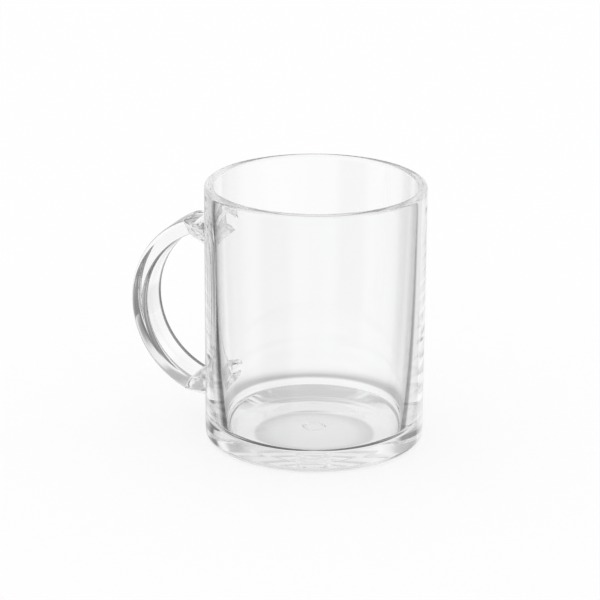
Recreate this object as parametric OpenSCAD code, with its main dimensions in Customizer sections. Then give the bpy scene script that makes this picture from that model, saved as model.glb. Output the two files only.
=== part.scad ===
/* [Body] */
// Outside diameter of the mug, the same from foot to rim
mug_d = 80; // [70:1:90]
// Height of the mug from the table to the top of the rim
mug_h = 96; // [88:1:110]
// Thickness of the wall at the rim, which is rounded right over
rim_t = 3.3; // [2.6:0.1:4]
// Thickness of the wall at its foot, just above the inside corner
wall_low_t = 6.3; // [5.4:0.1:7]
// Share of the wall's thickening that is even from rim to foot, while the rest comes low down
taper_share = 0.5; // [0.3:0.05:0.7]
// Height of the middle of the inside floor above the table
floor_t = 2.6; // [2.2:0.1:4]
// Height of the edge of the inside floor, which is a shallow dish
floor_edge_z = 5.7; // [4.8:0.1:7]
// Distance from the edge of the dish out to the foot of the wall, which the rounded inside corner takes up
corner_run = 3; // [2.2:0.1:3.6]
// Rounding of the outside edge of the foot
foot_edge_r = 2.5; // [1.5:0.1:3.5]

/* [Underside] */
// Diameter of the hollow under the floor at the foot ring
hollow_d = 42; // [36:1:50]
// Depth of that hollow in its middle, a very shallow dish upside down
hollow_depth = 0.5; // [0.4:0.1:0.9]
// Outside diameter of the moulded ring in the middle of the hollow
mark_d = 8.4; // [6:0.2:10]
// Width of the moulded ring's line
mark_w = 0.9; // [0.5:0.1:1.4]
// Depth that the moulded ring stands down into the hollow
mark_drop = 0.3; // [0.1:0.05:0.3]

/* [Handle bow] */
// Width of the handle's strap
strap_w = 15.2; // [12:0.2:18]
// Thickness of the strap at the middle of its bow
strap_t = 6.2; // [5:0.1:7]
// Rounding along the strap's four edges
strap_edge_r = 1.7; // [1:0.1:2.4]
// Radius of the outer side of the bow, seen from the side
bow_out_r = 35.9; // [34.5:0.1:37]
// Radius of the inner side of the bow, seen from the side
bow_in_r = 30.3; // [29:0.1:31]
// Clear depth of the finger gap between the wall and the strap
finger_gap = 24; // [22:0.2:28]
// Height of the middle of the bow above the table
bow_z = 45.6; // [42:0.2:50]
// Angle that the bow turns through on each side of its middle
bow_half_angle = 66; // [58:1:70]

/* [Handle welds] */
// Width of each weld pad on the wall
pad_w = 24.6; // [20:0.2:28]
// Height of each weld pad in its middle, where the glass has swollen most
pad_h = 11; // [8:0.2:12]
// Height of the two ends of each weld pad
pad_edge_h = 5.8; // [5:0.1:7]
// Rounding of the corners of the weld pads
pad_corner_r = 2.8; // [1.5:0.1:2.8]
// How far the upper pad sits below the strap's upper end
upper_pad_inset = 2; // [0:0.1:2.5]
// How far the lower pad sits above the strap's lower end
lower_pad_inset = 1.2; // [0:0.1:2.5]

/* [Hidden] */
$fn = 96;

mug_r = mug_d / 2;
rim_r = rim_t / 2;
rim_z = mug_h - rim_r;
// Length by which a cut runs past the face it opens
overrun = 1;

// The inside wall thins from its foot to the rim, and the floor rises as a parabola to the edge of its dish
dish_r = mug_r - wall_low_t - corner_run;
dish_slope = 2 * (floor_edge_z - floor_t) / dish_r;
dish_edge = [dish_r, floor_edge_z];
dish_steps = 16;
foot_rise_share = 1.24;
foot_run = foot_rise_share * corner_run;
wall_foot_z = floor_edge_z + foot_run;
wall_gain = wall_low_t - rim_t;
wall_run = rim_z - wall_foot_z;
wall_steps = 20;

// How late the lower part of the wall's thickening comes, and the wall's slope at its foot
swell_wall_power = 4;
foot_slope = wall_gain * mix(swell_wall_power, 1, taper_share) / wall_run;

// The wall's line at its foot meets the line that goes on from the dish, and one rounding joins the two
foot_line_r = mug_r - wall_low_t - foot_slope * (foot_run + dish_slope * dish_r);
meet_r = foot_line_r / (1 - foot_slope * dish_slope);
meet = [meet_r, floor_edge_z + dish_slope * (meet_r - dish_r)];
meet_run = norm(meet - dish_edge);
meet_angle = 90 + atan(dish_slope) + atan(foot_slope);
inside_corner_r = meet_run * tan(meet_angle / 2);
corner_c = dish_edge + inside_corner_r * [-dish_slope, 1] / norm([-dish_slope, 1]);
corner_touch = meet + meet_run * [foot_slope, 1] / norm([foot_slope, 1]);

// Centres of the two arcs of the bow, as distance from the mug's axis
bow_in_c = mug_r + finger_gap - bow_in_r;
bow_out_c = mug_r + finger_gap + strap_t - bow_out_r;

// How far the wall curves away behind the edge of a pad, and where the strap's ends stop inside it
pad_curve = mug_r - sqrt(mug_r * mug_r - pad_w * pad_w / 4);
stub_end = mug_r - pad_curve - overrun;

// Counts of rings along the handle, and of steps round each corner and across each wide face of a ring
bow_rings = 44;
stub_rings = 10;
corner_steps = 5;
face_steps = 10;
// How late along the stub the pad spreads sideways and swells in its middle: 1 is a straight flare
spread_power = 0.6;
swell_power = 1.5;

function mix(from, to, share) = from + (to - from) * share;

module glass() {
    color([0.86, 0.93, 0.93, 0.45]) children();
}

// Half section of the solid glass before the inside is taken out
module outerSection() {
    square([mug_r - foot_edge_r, rim_z]);
    translate([0, foot_edge_r]) square([mug_r, rim_z - foot_edge_r]);
    translate([mug_r - foot_edge_r, foot_edge_r]) circle(foot_edge_r);
}

// Point of the inside wall at a share of the way down from the rim to the wall's foot
function wallPoint(share) = [
    mug_r - rim_t - wall_gain * mix(pow(share, swell_wall_power), share, taper_share),
    rim_z - wall_run * share
];

// Half section of the space for the drink
module insideSection() {
    polygon([
        for (k = [0 : dish_steps])
            let (share = k / dish_steps)
            [dish_r * share, floor_t + (floor_edge_z - floor_t) * share * share],
        corner_touch,
        for (k = [wall_steps : -1 : 0]) wallPoint(k / wall_steps),
        [mug_r - rim_t, mug_h + overrun],
        [0, mug_h + overrun]
    ]);
    translate(corner_c) circle(inside_corner_r);
}

// Half section of the shallow hollow inside the foot ring
module hollowSection() {
    polygon([
        for (k = [0 : dish_steps])
            let (share = k / dish_steps)
            [hollow_d / 2 * share, hollow_depth * (1 - share * share)],
        [hollow_d / 2, -overrun],
        [0, -overrun]
    ]);
}

module body() {
    glass() rotate_extrude() {
        difference() {
            outerSection();
            insideSection();
            hollowSection();
        }
        translate([mug_r - rim_r, rim_z]) circle(rim_r);
        translate([mark_d / 2 - mark_w, hollow_depth - mark_drop]) square([mark_w, 2 * mark_drop]);
    }
}

// A station of the handle is [inner side, outer side, width, edge rounding, swelling of its middle]
function bowStation(a) = [
    [bow_in_c + bow_in_r * cos(a), bow_z + bow_in_r * sin(a)],
    [bow_out_c + bow_out_r * cos(a), bow_z + bow_out_r * sin(a)],
    strap_w,
    strap_edge_r,
    0
];

// The stub runs from the bow's end into the wall, spreads sideways and swells in its middle
function stubStation(share, side, inset) =
    let (root = bowStation(side * bow_half_angle))
    let (pad_z = (root[0][1] + root[1][1]) / 2 - side * inset)
    [
        [mix(root[0][0], stub_end, share), mix(root[0][1], pad_z - side * pad_edge_h / 2, share)],
        [mix(root[1][0], stub_end, share), mix(root[1][1], pad_z + side * pad_edge_h / 2, share)],
        mix(strap_w, pad_w, pow(share, spread_power)),
        mix(strap_edge_r, pad_corner_r, share),
        (pad_h / pad_edge_h - 1) * pow(share, swell_power)
    ];

stations = [
    for (i = [stub_rings : -1 : 1]) stubStation(i / stub_rings, -1, lower_pad_inset),
    for (i = [0 : bow_rings]) bowStation(mix(-bow_half_angle, bow_half_angle, i / bow_rings)),
    for (i = [1 : stub_rings]) stubStation(i / stub_rings, 1, upper_pad_inset)
];

// Ring of points at a station: a rounded rectangle, width along Y, thicker in its middle where it swells
function ringPoints(s) =
    let (middle = (s[0] + s[1]) / 2)
    let (half_t = norm(s[1] - s[0]) / 2)
    let (outward = (s[1] - s[0]) / (2 * half_t))
    let (r = min(s[3], 0.96 * half_t))
    let (corner_y = s[2] / 2 - r)
    let (corner_t = half_t - r)
    let (section = [
        for (corner = [0 : 3])
            let (sy = corner == 0 || corner == 3 ? 1 : -1)
            let (st = corner < 2 ? 1 : -1)
            each [
                for (k = [0 : corner_steps])
                    let (a = 90 * (corner + k / corner_steps))
                    [sy * corner_y + r * cos(a), st * corner_t + r * sin(a)],
                if (corner % 2 == 0)
                    for (k = [1 : face_steps - 1])
                        [mix(sy * corner_y, -sy * corner_y, k / face_steps), st * half_t]
            ]
    ])
    [
        for (p = section)
            let (swelling = 1 + s[4] * (1 - pow(2 * p[0] / s[2], 2)))
            let (q = middle + outward * p[1] * swelling)
            [-q[0], p[0], q[1]]
    ];

module strap() {
    points = [for (s = stations) each ringPoints(s)];
    last = len(stations) - 1;
    per_ring = len(points) / len(stations);
    sides = [
        for (i = [0 : last - 1])
            for (k = [0 : per_ring - 1])
                let (a = i * per_ring + k)
                let (b = i * per_ring + (k + 1) % per_ring)
                each [[a, b, b + per_ring], [a, b + per_ring, a + per_ring]]
    ];
    near_cap = [for (k = [per_ring - 1 : -1 : 0]) k];
    far_cap = [for (k = [0 : per_ring - 1]) last * per_ring + k];
    polyhedron(points, concat(sides, [near_cap, far_cap]));
}

// The strap's ends are cut to the round of the wall that they are welded to
module handle() {
    glass() difference() {
        strap();
        cylinder(h = mug_h, r = mug_r);
    }
}

body();
handle();
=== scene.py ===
import math
import bmesh
import bpy
from mathutils import Matrix, Vector


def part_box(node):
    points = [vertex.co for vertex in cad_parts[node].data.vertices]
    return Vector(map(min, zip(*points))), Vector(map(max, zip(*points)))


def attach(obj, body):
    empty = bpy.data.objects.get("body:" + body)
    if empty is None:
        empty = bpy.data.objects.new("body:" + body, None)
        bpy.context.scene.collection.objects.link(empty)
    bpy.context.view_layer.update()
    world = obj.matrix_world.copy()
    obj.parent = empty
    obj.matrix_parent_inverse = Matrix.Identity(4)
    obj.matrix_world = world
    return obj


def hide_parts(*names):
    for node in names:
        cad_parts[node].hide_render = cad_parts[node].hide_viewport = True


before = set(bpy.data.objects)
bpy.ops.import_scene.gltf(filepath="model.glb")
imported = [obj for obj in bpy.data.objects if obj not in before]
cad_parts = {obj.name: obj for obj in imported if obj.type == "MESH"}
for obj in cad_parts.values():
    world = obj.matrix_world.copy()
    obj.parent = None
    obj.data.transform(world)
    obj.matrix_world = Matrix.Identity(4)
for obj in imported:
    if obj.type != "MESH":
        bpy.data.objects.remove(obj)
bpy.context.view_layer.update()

mm = 0.001
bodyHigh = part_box("body")[1]
mugRadius = float(bodyHigh[1])
mugHeight = float(bodyHigh[2])
# degrees that the photo's line of sight is turned from the mug's own axes, and the room and the painted floor
# shadow with it
viewTurn = 21.18


class Signal:
    # one socket of a node tree, so that shader maths can be written as plain expressions
    def __init__(self, shop, socket):
        self.shop = shop
        self.socket = socket

    def mathNode(self, operation, first, second):
        return self.shop.node("ShaderNodeMath", {"operation": operation}, [first, second])

    def __add__(self, other):
        return self.mathNode("ADD", self, other)

    def __radd__(self, other):
        return self.mathNode("ADD", other, self)

    def __mul__(self, other):
        return self.mathNode("MULTIPLY", self, other)

    def __rmul__(self, other):
        return self.mathNode("MULTIPLY", other, self)

    def __gt__(self, other):
        return self.mathNode("GREATER_THAN", self, other)

    def __lt__(self, other):
        return self.mathNode("LESS_THAN", self, other)


class Workshop:
    # a node tree, with one method for any node: its settings come first, then its sockets' values or links,
    # and it gives back one output to go on with
    def __init__(self, tree):
        self.tree = tree
        tree.nodes.clear()

    def node(self, kind, settings=None, inputs=None, output=0):
        made = self.tree.nodes.new(kind)
        for name, value in (settings or {}).items():
            if name == "stops":
                while len(made.color_ramp.elements) < len(value):
                    made.color_ramp.elements.new(1.0)
                for stop, (place, colour) in zip(made.color_ramp.elements, value):
                    stop.position = place
                    stop.color = colour
            else:
                setattr(made, name, value)
        pairs = enumerate(inputs) if isinstance(inputs, list) else (inputs or {}).items()
        for name, value in pairs:
            if isinstance(value, Signal):
                self.tree.links.new(value.socket, made.inputs[name])
            else:
                made.inputs[name].default_value = value
        return Signal(self, made.outputs[output]) if made.outputs else made


def grey(level):
    return (level, level, level, 1.0)


def newMaterial(name):
    material = bpy.data.materials.new(name)
    material.use_nodes = True
    return material, Workshop(material.node_tree)


glassLook = {
    "ior": 1.5,
    "tint": (0.986, 0.988, 0.988, 1.0),
    # the faint waves of the whole surface and the crumpling of the welds: bumps per metre and their height
    "rippleScale": 16.0,
    "rippleHeight": 0.012 * mm,
    "crumpleScale": 420.0,
    "crumpleHeight": 0.3 * mm,
    # distances from the mug's axis between which the smooth strap turns into the crumpled weld
    "crumpleOuter": 44.5 * mm,
    "crumpleInner": 41.0 * mm,
}


def clearGlass(name, crumpled=False):
    material, shop = newMaterial(name)
    look = glassLook
    place = shop.node("ShaderNodeTexCoord", output="Object")
    ripple = shop.node("ShaderNodeTexNoise", {}, {
        "Vector": place, "Scale": look["rippleScale"], "Detail": 0.0,
    })
    height = ripple * look["rippleHeight"]
    if crumpled:
        level = shop.node("ShaderNodeVectorMath", {"operation": "MULTIPLY"}, [place, (1.0, 1.0, 0.0)])
        out = shop.node("ShaderNodeVectorMath", {"operation": "LENGTH"}, [level], output="Value")
        near = shop.node("ShaderNodeMapRange", {"interpolation_type": "SMOOTHSTEP"}, {
            "Value": out,
            "From Min": look["crumpleOuter"],
            "From Max": look["crumpleInner"],
        })
        crumple = shop.node("ShaderNodeTexNoise", {}, {
            "Vector": place, "Scale": look["crumpleScale"], "Detail": 1.0,
        })
        height = height + crumple * near * look["crumpleHeight"]
    normal = shop.node("ShaderNodeBump", {}, {"Height": height, "Distance": 1.0, "Strength": 1.0})
    glass = shop.node("ShaderNodeBsdfPrincipled", {}, {
        "Base Color": look["tint"],
        "Roughness": 0.0,
        "IOR": look["ior"],
        "Transmission Weight": 1.0,
        "Normal": normal,
    })
    shop.node("ShaderNodeOutputMaterial", {}, {"Surface": glass})
    return material


def weldGlass():
    # the plane inside one block of glass where the two gathers joined: light goes straight on
    material, shop = newMaterial("weldInterface")
    clear = shop.node("ShaderNodeBsdfTransparent", {}, {"Color": grey(1.0)})
    shop.node("ShaderNodeOutputMaterial", {}, {"Surface": clear})
    return material


bodyShape = {
    "rimThickness": 3.3 * mm,
    # the wall thickens towards its foot, which is this high up, a share of it evenly and the rest low down
    "wallLow": 6.3 * mm,
    "wallFoot": 9.42 * mm,
    "taperShare": 0.5,
    "swellPower": 4,
    # the inside floor is a shallow dish: heights of its middle and its edge, and its radius
    "floorMiddle": 2.6 * mm,
    "floorEdge": 5.7 * mm,
    "floorRadius": 30.7 * mm,
    "footEdge": 2.5 * mm,
    # the hollow under the floor, and the moulded ring in its middle with the turns beside its tip
    "hollowRadius": 21.0 * mm,
    "hollowDepth": 0.5 * mm,
    "markRadius": 4.2 * mm,
    "markWidth": 0.9 * mm,
    "markDrop": 0.3 * mm,
    "markTurn": 0.4 * mm,
    "markRound": 0.5 * mm,
    # how finely each part of the outline is cut
    "wallSteps": 48,
    "dishSteps": 24,
    "cornerSteps": 32,
    "edgeSteps": 16,
    "hollowSteps": 24,
    "markSteps": 6,
    "markSlopeSteps": 4,
    "rowSpacing": 3 * mm,
    "columns": 288,
    # columns on each side of the handle and rows that a weld takes up, how far the patch goes past the
    # weld's height, and the rings of faces between the patch's border and the weld's outline
    "weldColumns": 17,
    "weldRows": 16,
    "weldMargin": 1.6 * mm,
    "weldRings": 4,
}

handleShape = {
    "width": 15.2 * mm,
    "thickness": 6.2 * mm,
    "edgeRound": 1.7 * mm,
    "bowOut": 35.9 * mm,
    "bowIn": 30.3 * mm,
    "fingerGap": 24.0 * mm,
    "bowHeight": 45.6 * mm,
    # degrees of the bow on each side of its middle
    "halfAngle": 66.0,
    # the weld pads: width, height at their ends and in their middle, rounding, and how far they are let in
    "padWidth": 24.6 * mm,
    "padEdge": 5.8 * mm,
    "padHeight": 11.0 * mm,
    "padCorner": 2.8 * mm,
    "upperInset": 2.0 * mm,
    "lowerInset": 1.2 * mm,
    # how late along the stub the pad widens and swells: 1 is a straight flare
    "widthPower": 0.6,
    "bellyPower": 1.5,
    # how far past the wall's surface the stub is aimed, so that all of it reaches the wall
    "stubOverrun": 1.0 * mm,
    # largest edge rounding, as a share of half the thickness
    "mostRounding": 0.96,
    # rings along the strap, steps round its edges, and steps in which the way to the wall is tried
    "bowRings": 150,
    "stubRings": 26,
    "roundSteps": 6,
    "weldSearch": 400,
}


def between(start, end, share):
    return start + (end - start) * share


def roundedLine(corners):
    # a corner is distance out, height, rounding, steps of the rounding, and steps or shares to the next one
    line = []
    for i, (r, z, radius, steps, onward) in enumerate(corners):
        here = Vector((r, z))
        if radius > 0:
            back = (Vector(corners[i - 1][:2]) - here).normalized()
            ahead = (Vector(corners[i + 1][:2]) - here).normalized()
            half = back.angle(ahead) / 2
            centre = here + (back + ahead).normalized() * radius / math.sin(half)
            start = here + back * radius / math.tan(half)
            end = here + ahead * radius / math.tan(half)
            arm, sweep = start - centre, (end - centre).angle_signed(start - centre)
            for k in range(steps + 1):
                turn = sweep * k / steps
                c, s = math.cos(turn), math.sin(turn)
                line.append(centre + Vector((arm.x * c - arm.y * s, arm.x * s + arm.y * c)))
        else:
            line.append(here)
        line.append(onward)
    points = []
    for i, item in enumerate(line):
        if isinstance(item, Vector):
            points.append(item)
        elif i + 1 < len(line):
            start, end = line[i - 1], line[i + 1]
            cuts = item if isinstance(item, list) else [k / item for k in range(1, item)]
            points += [start.lerp(end, cut) for cut in cuts]
    return points


def hollowHeight(r):
    # the underside is hollowed like a very shallow dish
    return bodyShape["hollowDepth"] * (1 - (r / bodyShape["hollowRadius"]) ** 2)


def bodyOutline():
    b = bodyShape
    top, out = mugHeight, mugRadius
    rimRound = b["rimThickness"] / 2
    wallTop, gain = top - rimRound, b["wallLow"] - b["rimThickness"]
    wallRun = wallTop - b["wallFoot"]
    rimIn = out - b["rimThickness"] + gain * b["taperShare"] * rimRound / wallRun
    wall = []
    for k in range(1, b["wallSteps"] + 1):
        share = k / b["wallSteps"]
        swollen = b["rimThickness"] + gain * between(share ** b["swellPower"], share, b["taperShare"])
        wall.append((out - swollen, wallTop - wallRun * share))
    # the corner's rounding meets the dish at its edge and the wall at its foot
    reach, deep = b["floorRadius"], b["floorEdge"] - b["floorMiddle"]
    slope = 2 * deep / reach
    lean = gain * between(b["swellPower"], 1, b["taperShare"]) / wallRun
    footRun = b["wallFoot"] - b["floorEdge"]
    cornerOut = (out - b["wallLow"] - lean * (footRun + slope * reach)) / (1 - lean * slope)
    corner = Vector((cornerOut, b["floorEdge"] + slope * (cornerOut - reach)))
    tangent = (corner - Vector((reach, b["floorEdge"]))).length
    half = (Vector((lean, 1)).angle(Vector((-1, -slope)))) / 2
    dish = []
    for k in range(b["dishSteps"] - 1, -1, -1):
        share = k / b["dishSteps"]
        dish.append((reach * k / b["dishSteps"], b["floorMiddle"] + deep * share ** 2))
    wallStart, wallEnd = b["footEdge"], top - rimRound
    cuts = sorted({(z - wallStart) / (wallEnd - wallStart) for z in wallRows(wallStart, wallEnd)})
    markIn, markOut = b["markRadius"] - b["markWidth"] - b["markTurn"], b["markRadius"] + b["markTurn"]
    markTip = b["markRadius"] - b["markWidth"] / 2
    hollow = [between(markOut, b["hollowRadius"], k / b["hollowSteps"]) for k in range(b["hollowSteps"])]
    # the two roundings of the rim all but touch, so that the second is a hair smaller
    rimInRound = rimRound * 0.9999
    edge, slant = b["edgeSteps"], b["markSlopeSteps"]
    return roundedLine([
        (0, b["hollowDepth"], 0, 0, 6),
        (markIn, hollowHeight(markIn), 0, 0, slant),
        (markTip, hollowHeight(markTip) - b["markDrop"], b["markRound"], b["markSteps"], slant),
        *[(r, hollowHeight(r), 0, 0, 1) for r in hollow],
        (b["hollowRadius"], 0, 0, 0, edge),
        (out, 0, b["footEdge"], edge, cuts),
        (out, top, rimRound, edge, 1),
        (rimIn, top, rimInRound, edge, 1),
        *[(r, z, 0, 0, 1) for r, z in wall],
        (corner.x, corner.y, tangent * math.tan(half), b["cornerSteps"], 1),
        *[(r, z, 0, 0, 2) for r, z in dish],
    ])


def plainRows(low, high):
    steps = max(2, round((high - low) / bodyShape["rowSpacing"]))
    return {between(low, high, k / steps) for k in range(1, steps)}


def wallRows(low, high):
    # rows of the outside wall: close together where a weld is let in, wide apart between
    weldRows = bodyShape["weldRows"]
    rows = set()
    previous = low
    for side in (-1, 1):
        start, end = weldBand(side)
        rows |= plainRows(previous, start)
        rows |= {between(start, end, k / weldRows) for k in range(weldRows + 1)}
        previous = end
    return rows | plainRows(previous, high)


def bowPoint(middle, radius, degrees):
    turn = math.radians(degrees)
    return Vector((middle + radius * math.cos(turn), handleShape["bowHeight"] + radius * math.sin(turn)))


def bowStation(degrees):
    # a station of the handle: its inner and outer side, width, edge rounding and the swelling of its middle
    h = handleShape
    inMiddle = mugRadius + h["fingerGap"] - h["bowIn"]
    outMiddle = mugRadius + h["fingerGap"] + h["thickness"] - h["bowOut"]
    inner = bowPoint(inMiddle, h["bowIn"], degrees)
    outer = bowPoint(outMiddle, h["bowOut"], degrees)
    return inner, outer, h["width"], h["edgeRound"], 0


def padHeights(side):
    # heights of a pad's middle and of its inner and outer side where it meets the wall
    h = handleShape
    inner, outer = bowStation(side * h["halfAngle"])[:2]
    middle = (inner.y + outer.y) / 2 - side * (h["upperInset"] if side > 0 else h["lowerInset"])
    return middle, middle - side * h["padEdge"] / 2, middle + side * h["padEdge"] / 2


def weldBand(side):
    # lowest and highest row of the square-cornered patch that each weld is let into
    middle = padHeights(side)[0]
    reach = handleShape["padHeight"] / 2 + bodyShape["weldMargin"]
    return middle - reach, middle + reach


def stubStation(share, side):
    # the stub goes from the bow's end into the wall, spreads sideways and swells in its middle
    h = handleShape
    inner, outer, width, rounding, belly = bowStation(side * h["halfAngle"])
    curve = mugRadius - math.sqrt(mugRadius ** 2 - h["padWidth"] ** 2 / 4)
    end = mugRadius - curve - h["stubOverrun"]
    padIn, padOut = padHeights(side)[1:]
    return (
        Vector((between(inner.x, end, share), between(inner.y, padIn, share))),
        Vector((between(outer.x, end, share), between(outer.y, padOut, share))),
        between(width, h["padWidth"], share ** h["widthPower"]),
        between(rounding, h["padCorner"], share),
        between(belly, h["padHeight"] / h["padEdge"] - 1, share ** h["bellyPower"]),
    )


def sectionPoints(station):
    # one ring of the strap: outer face, +Y edge, inner face, -Y edge, each from mid corner to mid corner
    inner, outer, width, rounding, belly = station
    middle, halfT = (inner + outer) / 2, (outer - inner).length / 2
    outward = (outer - inner).normalized()
    r = min(rounding, handleShape["mostRounding"] * halfT)
    steps = handleShape["roundSteps"]
    wide, thin = 2 * bodyShape["weldColumns"], bodyShape["weldRows"]
    w, t = width / 2 - r, halfT - r
    corners = [(-w, t, 135), (w, t, 45), (w, -t, -45), (-w, -t, -135)]
    ring = []
    for c, (y, z, angle) in enumerate(corners):
        nextY, nextZ = corners[(c + 1) % 4][:2]
        count = wide if c % 2 == 0 else thin
        facing = angle - 45
        flat = count - 2 * steps
        for k in range(steps):
            turn = math.radians(between(angle, facing, k / steps))
            ring.append((y + r * math.cos(turn), z + r * math.sin(turn)))
        turn = math.radians(facing)
        for k in range(flat + 1):
            ring.append((
                between(y, nextY, k / flat) + r * math.cos(turn),
                between(z, nextZ, k / flat) + r * math.sin(turn),
            ))
        for k in range(1, steps):
            turn = math.radians(between(facing, facing - 45, k / steps))
            ring.append((nextY + r * math.cos(turn), nextZ + r * math.sin(turn)))
    swollen = [(y, t * (1 + belly * (1 - (2 * y / width) ** 2))) for y, t in ring]
    return [Vector((-(middle.x + outward.x * t), y, middle.y + outward.y * t)) for y, t in swollen]


def weldShares(side):
    # share of the stub at which each line along the strap reaches the outside wall
    fine = handleShape["weldSearch"]
    rings = [sectionPoints(stubStation(i / fine, side)) for i in range(fine + 1)]
    shares = []
    for k in range(len(rings[0])):
        outs = [math.hypot(ring[k].x, ring[k].y) for ring in rings]
        i = next(i for i in range(fine) if outs[i + 1] < mugRadius)
        shares.append((i + (outs[i] - mugRadius) / (outs[i] - outs[i + 1])) / fine)
    return shares


def onWall(point):
    # the same direction and height, exactly on the outside wall
    scale = mugRadius / math.hypot(point.x, point.y)
    return Vector((point.x * scale, point.y * scale, point.z))


def stubRing(side, shares, portion):
    # a ring whose lines have all gone the same portion of their way to the wall
    return [sectionPoints(stubStation(share * portion, side))[k] for k, share in enumerate(shares)]


def wallPolar(point):
    # a point of the wall as its angle from the handle and its height
    return math.atan2(point.y, -point.x), point.z


def fromPolar(angle, height):
    return Vector((-mugRadius * math.cos(angle), mugRadius * math.sin(angle), height))


def weldPatch(bm, ring):
    # the face where the two pieces of glass meet: a net of squares on the wall inside the weld's outline
    wide, thin = 2 * bodyShape["weldColumns"], bodyShape["weldRows"]
    flat = [Vector(wallPolar(v.co)) for v in ring]
    # places in the ring of the net's four corners, and of the lines that cross it
    count = len(ring)
    farStart, farEnd = wide + thin, 2 * wide + thin
    net = {}
    for i in range(wide + 1):
        for j in range(thin + 1):
            near, far = i, farEnd - i
            right, left = wide + j, (farEnd + thin - j) % count
            u, v = i / wide, j / thin
            if i == 0:
                net[i, j] = ring[left]
            elif i == wide:
                net[i, j] = ring[right]
            elif j == 0:
                net[i, j] = ring[near]
            elif j == thin:
                net[i, j] = ring[far]
            else:
                corners = flat[0] * (1 - u) * (1 - v) + flat[wide] * u * (1 - v)
                corners = corners + flat[farStart] * u * v + flat[farEnd] * (1 - u) * v
                spot = flat[near] * (1 - v) + flat[far] * v + flat[left] * (1 - u) + flat[right] * u - corners
                net[i, j] = bm.verts.new(fromPolar(*spot))
    for i in range(wide):
        for j in range(thin):
            face = bm.faces.new((net[i, j], net[i + 1, j], net[i + 1, j + 1], net[i, j + 1]))
            # the second material is the plane of the weld
            face.material_index = 1


def finishMesh(bm, name, materials):
    bmesh.ops.recalc_face_normals(bm, faces=bm.faces)
    for face in bm.faces:
        face.smooth = True
    mesh = bpy.data.meshes.new(name)
    bm.to_mesh(mesh)
    bm.free()
    for material in materials:
        mesh.materials.append(material)
    piece = bpy.data.objects.new(name, mesh)
    bpy.context.scene.collection.objects.link(piece)
    return piece


def stitch(bm, ringA, ringB):
    count = len(ringA)
    for k in range(count):
        n = (k + 1) % count
        bm.faces.new((ringA[k], ringA[n], ringB[n], ringB[k]))


def letInWeld(bm, border, outlineRing):
    # rings of faces on the wall from the square border of the patch to the weld's outline, and its plane
    steps = bodyShape["weldRings"]
    previous = border
    for s in range(1, steps):
        ring = []
        for outer, inner in zip(border, outlineRing):
            (angleA, heightA), (angleB, heightB) = wallPolar(outer.co), wallPolar(inner.co)
            spot = fromPolar(between(angleA, angleB, s / steps), between(heightA, heightB, s / steps))
            ring.append(bm.verts.new(spot))
        stitch(bm, previous, ring)
        previous = ring
    stitch(bm, previous, outlineRing)
    weldPatch(bm, outlineRing)


def makeBody(materials, weldOutlines):
    columns, half = bodyShape["columns"], bodyShape["weldColumns"]
    rows = bodyShape["weldRows"]
    bm = bmesh.new()
    outline = bodyOutline()
    # each weld's side, and its first and last row in the outline
    welds = []
    for side in (-1, 1):
        corner = Vector((mugRadius, weldBand(side)[0]))
        first = min(range(len(outline)), key=lambda j: sum(abs(v) for v in outline[j] - corner))
        welds.append((side, first, first + rows))
    rings = []
    for j, (r, z) in enumerate(outline):
        # the outline starts and ends on the mug's axis
        if j in (0, len(outline) - 1):
            rings.append([bm.verts.new((0, 0, z))])
            continue
        inWeld = any(first < j < last for side, first, last in welds)
        ring = []
        for i in range(columns):
            angle = 2 * math.pi * i / columns
            hidden = inWeld and min(i, columns - i) < half
            ring.append(None if hidden else bm.verts.new((-r * math.cos(angle), r * math.sin(angle), z)))
        rings.append(ring)
    for j, (a, b) in enumerate(zip(rings, rings[1:])):
        if len(a) == 1 or len(b) == 1:
            tip, ring = (a[0], b) if len(a) == 1 else (b[0], a)
            for i in range(columns):
                bm.faces.new((tip, ring[i], ring[(i + 1) % columns]))
            continue
        inWeld = any(first <= j < last for side, first, last in welds)
        for i in range(columns):
            if inWeld and (i < half or i >= columns - half):
                continue
            n = (i + 1) % columns
            bm.faces.new((a[i], a[n], b[n], b[i]))
    for side, first, last in welds:
        # the strap's outer face is up at the upper weld and down at the lower one
        start, end = (last, first) if side > 0 else (first, last)
        border = [rings[start][i % columns] for i in range(-half, half)]
        border += [rings[start - side * k][half] for k in range(rows)]
        border += [rings[end][i % columns] for i in range(half, -half, -1)]
        border += [rings[end + side * k][-half % columns] for k in range(rows)]
        letInWeld(bm, border, [bm.verts.new(p) for p in weldOutlines[side]])
    piece = finishMesh(bm, "glassBody", materials)
    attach(piece, "root")
    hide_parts("body")
    print("body made,", len(piece.data.polygons), "faces")


def makeHandle(materials, shares):
    h = handleShape
    bm = bmesh.new()
    rings = []
    for k in range(h["stubRings"], 0, -1):
        rings.append(stubRing(-1, shares[-1], k / h["stubRings"]))
    for k in range(h["bowRings"] + 1):
        rings.append(sectionPoints(bowStation(between(-h["halfAngle"], h["halfAngle"], k / h["bowRings"]))))
    for k in range(1, h["stubRings"] + 1):
        rings.append(stubRing(1, shares[1], k / h["stubRings"]))
    for end in (0, -1):
        rings[end] = [onWall(p) for p in rings[end]]
    vertexRings = [[bm.verts.new(p) for p in ring] for ring in rings]
    for a, b in zip(vertexRings, vertexRings[1:]):
        stitch(bm, a, b)
    for ring in (vertexRings[0], vertexRings[-1]):
        weldPatch(bm, ring)
        for a, b in zip(ring, ring[1:] + ring[:1]):
            bm.edges.get((a, b)).smooth = False
    piece = finishMesh(bm, "glassHandle", materials)
    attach(piece, "root")
    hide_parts("handle")
    print("handle made,", len(piece.data.polygons), "faces")


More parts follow.
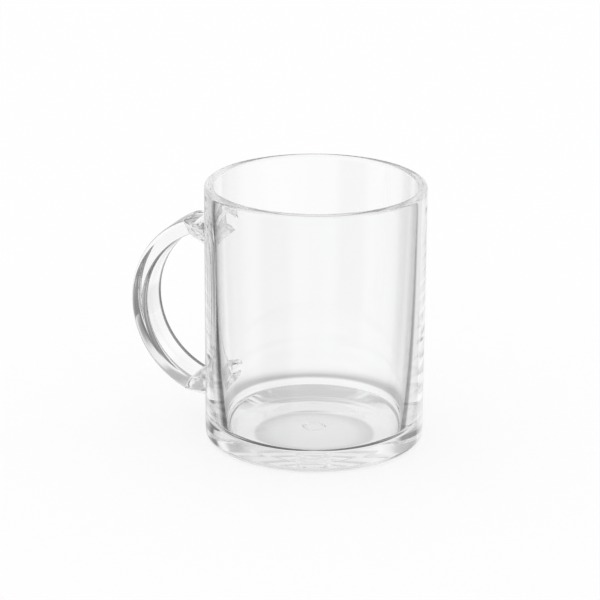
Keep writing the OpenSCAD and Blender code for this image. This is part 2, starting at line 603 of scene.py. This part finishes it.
cameraFit = {
    # where it stands in the turned axes, the degrees that it looks down and leans, and its lens in pixels
    "place": (-10.23 * mm, -881.78 * mm, 354.86 * mm),
    "pitch": 19.411,
    "roll": 0.235,
    "focusPixels": 2567.6,
    "centrePixels": (286.79, 319.56),
    "framePixels": 600,
    "sensor": 36.0,
    "nearest": 10 * mm,
}


def makeCamera():
    c = cameraFit
    data = bpy.data.cameras.new("photoCamera")
    data.sensor_width = c["sensor"]
    data.lens = c["focusPixels"] * c["sensor"] / c["framePixels"]
    data.shift_x = (c["framePixels"] / 2 - c["centrePixels"][0]) / c["framePixels"]
    data.shift_y = (c["centrePixels"][1] - c["framePixels"] / 2) / c["framePixels"]
    data.clip_start = c["nearest"]
    camera = bpy.data.objects.new("photoCamera", data)
    bpy.context.scene.collection.objects.link(camera)
    turn = Matrix.Rotation(math.radians(viewTurn), 4, "Z")
    tilt = Matrix.Rotation(math.radians(90 - c["pitch"]), 4, "X")
    roll = Matrix.Rotation(math.radians(c["roll"]), 4, "Z")
    camera.matrix_world = turn @ Matrix.Translation(c["place"]) @ tilt @ roll
    bpy.context.scene.camera = camera


stageLook = {
    "floorRadius": 3.0,
    "floorSides": 96,
    "floorDrop": 0.1 * mm,
    "floorColour": 0.97,
    # share of white that the floor keeps in the mug's shadow
    "floorGlow": 0.8,
    # painted shadow on the floor, seen only where the glass lets it through: a spot under the mug and a ring
    # behind it, each with how far its middle lies behind the mug's axis and its grey levels by millimetres
    # from that middle
    "paintedShadowReach": 100.0 * mm,
    "under": {"behind": -8.0 * mm, "levels": [
        (0, 0.84), (15, 0.82), (19, 0.72), (21.5, 0.66), (23, 0.93), (40, 1.0),
    ]},
    "around": {"behind": 6.0 * mm, "levels": [
        (0, 0.96), (39.5, 0.97), (44, 0.54), (49, 0.54), (51, 0.7), (53, 0.86), (56, 0.97), (62, 1.0),
    ]},
}


# paints a shadow on the floor as grey levels by distance from a middle behind or in front of the mug's axis
def paintedShadowSpot(shop, place, spot):
    turn = math.radians(viewTurn)
    middle = (-math.sin(turn) * spot["behind"], math.cos(turn) * spot["behind"], 0.0)
    away = shop.node("ShaderNodeVectorMath", {"operation": "DISTANCE"}, [place, middle], output="Value")
    stops = [(distance * mm / stageLook["paintedShadowReach"], grey(level)) for distance, level in spot["levels"]]
    return shop.node("ShaderNodeValToRGB", {"stops": stops}, {"Fac": away * (1 / stageLook["paintedShadowReach"])})


def insideRay(shop):
    # 1 for light that was reflected at least once before it got here
    return shop.node("ShaderNodeLightPath", output="Glossy Depth") > 0.5


def makeFloor():
    s = stageLook
    bm = bmesh.new()
    bmesh.ops.create_circle(bm, cap_ends=True, segments=s["floorSides"], radius=s["floorRadius"])
    mesh = bpy.data.meshes.new("studioFloor")
    bm.to_mesh(mesh)
    bm.free()
    floor = bpy.data.objects.new("studioFloor", mesh)
    bpy.context.scene.collection.objects.link(floor)
    floor.location.z = -s["floorDrop"]
    material, shop = newMaterial("paleFloor")
    camera = shop.node("ShaderNodeLightPath", output="Is Camera Ray")
    through = shop.node("ShaderNodeLightPath", output="Is Transmission Ray")
    place = shop.node("ShaderNodeTexCoord", output="Object")
    # painted shadow: the two spots grey the floor's glow only for light that came through the glass
    spots = [paintedShadowSpot(shop, place, s["under"]), paintedShadowSpot(shop, place, s["around"])]
    shadow = shop.node("ShaderNodeMath", {"operation": "MINIMUM"}, spots)
    seen = shop.node("ShaderNodeMix", {"data_type": "RGBA"}, {0: through, 6: grey(1.0), 7: shadow}, output=2)
    lit = shop.node("ShaderNodeBsdfDiffuse", {}, {"Color": grey(s["floorColour"])})
    glow = shop.node("ShaderNodeEmission", {}, {"Color": seen, "Strength": 1.0})
    clear = shop.node("ShaderNodeBsdfTransparent", {}, {"Color": grey(1.0)})
    sight = shop.node("ShaderNodeMath", {"operation": "MAXIMUM"}, [camera * s["floorGlow"], through])
    plain = shop.node("ShaderNodeMixShader", {}, [sight, lit, glow])
    surface = shop.node("ShaderNodeMixShader", {}, [insideRay(shop), plain, clear])
    shop.node("ShaderNodeOutputMaterial", {}, {"Surface": surface})
    mesh.materials.append(material)


roomLook = {
    # bands of the room from the ground up, for light that the glass turned aside: the height at which each
    # begins, as the sine of the angle up, how soft that edge is, and its levels by degrees to the right
    "bands": [
        {"from": -1.1, "soft": 0.05, "levels": [
            (-180, 0.4), (-155, 0.3), (-148, 0.15), (-70, 0.15), (-42, 0.05), (-36, 0.4), (-30, 0.85),
            (30, 0.9), (38, 0.8), (42, 0.3), (65, 0.15), (125, 0.15), (150, 0.3), (180, 0.4),
        ]},
        {"from": -0.5, "soft": 0.04, "levels": [
            (-180, 0.7), (-158, 0.7), (-148, 0.15), (-124, 0.15), (-114, 0.7), (-64, 0.7), (-57, 0.1),
            (-42, 0.03), (-36, 0.4), (-30, 0.85), (-18, 0.7), (-8, 0.55), (2, 0.65), (10, 0.9), (30, 0.95),
            (38, 0.9), (42, 0.35), (48, 0.25), (58, 0.25), (62, 0.4), (74, 0.3), (90, 0.7), (125, 0.9),
            (150, 0.9), (180, 0.7),
        ]},
        {"from": -0.14, "soft": 0.01, "levels": [
            (-180, 0.85), (-150, 1.0), (-95, 1.0), (-70, 0.6), (-52, 0.3), (-36, 0.3), (-30, 0.8), (-22, 0.9),
            (-10, 0.7), (10, 0.7), (16, 0.8), (38, 0.8), (50, 0.8), (53, 0.2), (72, 0.3), (90, 0.9),
            (105, 1.0), (145, 1.0), (180, 0.85),
        ]},
        {"from": 0.24, "soft": 0.12, "levels": [
            (-180, 0.85), (-150, 1.0), (-95, 1.0), (-70, 0.7), (-52, 0.5), (-36, 0.6), (-30, 0.85),
            (-22, 0.95), (-10, 0.85), (10, 0.85), (16, 0.8), (24, 0.66), (30, 0.52), (38, 0.55), (43, 0.95),
            (50, 0.95), (53, 0.25), (72, 0.3), (90, 0.9), (105, 1.0), (145, 1.0), (180, 0.85),
        ]},
        {"from": 0.86, "soft": 0.01, "levels": [(-180, 0.62), (180, 0.62)]},
    ],
    # for all other light the room is plain white
    "plain": 1.0,
}


def makeRoom():
    w = roomLook
    world = bpy.data.worlds.new("studioWorld")
    bpy.context.scene.world = world
    world.use_nodes = True
    shop = Workshop(world.node_tree)
    place = shop.node("ShaderNodeTexCoord", output="Generated")
    parts = [shop.node("ShaderNodeSeparateXYZ", {}, {"Vector": place}, output=k) for k in range(3)]
    bearing = shop.node("ShaderNodeMath", {"operation": "ARCTAN2"}, parts[:2])
    turns = bearing * (0.5 / math.pi) + (0.5 + viewTurn / 360)
    turns = shop.node("ShaderNodeMath", {"operation": "FRACT"}, [turns])
    room = grey(0.0)
    for band in w["bands"]:
        stops = [(0.5 + degrees / 360, grey(level)) for degrees, level in band["levels"]]
        levels = shop.node("ShaderNodeValToRGB", {"stops": stops}, {"Fac": turns})
        reached = shop.node("ShaderNodeMapRange", {"interpolation_type": "SMOOTHSTEP"}, {
            "Value": parts[2],
            "From Min": band["from"] - band["soft"],
            "From Max": band["from"] + band["soft"],
        })
        room = shop.node("ShaderNodeMix", {"data_type": "RGBA"}, {0: reached, 6: room, 7: levels}, output=2)
    colour = shop.node("ShaderNodeMix", {"data_type": "RGBA"}, {
        0: insideRay(shop), 6: grey(w["plain"]), 7: room,
    }, output=2)
    background = shop.node("ShaderNodeBackground", {}, {"Color": colour, "Strength": 1.0})
    shop.node("ShaderNodeOutputWorld", {}, {"Surface": background})


makeCamera()
makeFloor()
makeRoom()
print("camera, floor and light ready")

shares = {side: weldShares(side) for side in (-1, 1)}
weldOutlines = {side: [onWall(p) for p in stubRing(side, shares[side], 1.0)] for side in (-1, 1)}
weld = weldGlass()
makeBody([clearGlass("bodyGlass"), weld], weldOutlines)
makeHandle([clearGlass("handleGlass", crumpled=True), weld], shares)

scene = bpy.context.scene
scene.view_settings.view_transform = "Standard"
# enough turns for light that runs round inside the glass
bounces = 96
scene.cycles.max_bounces = bounces
scene.cycles.glossy_bounces = bounces
scene.cycles.transmission_bounces = bounces
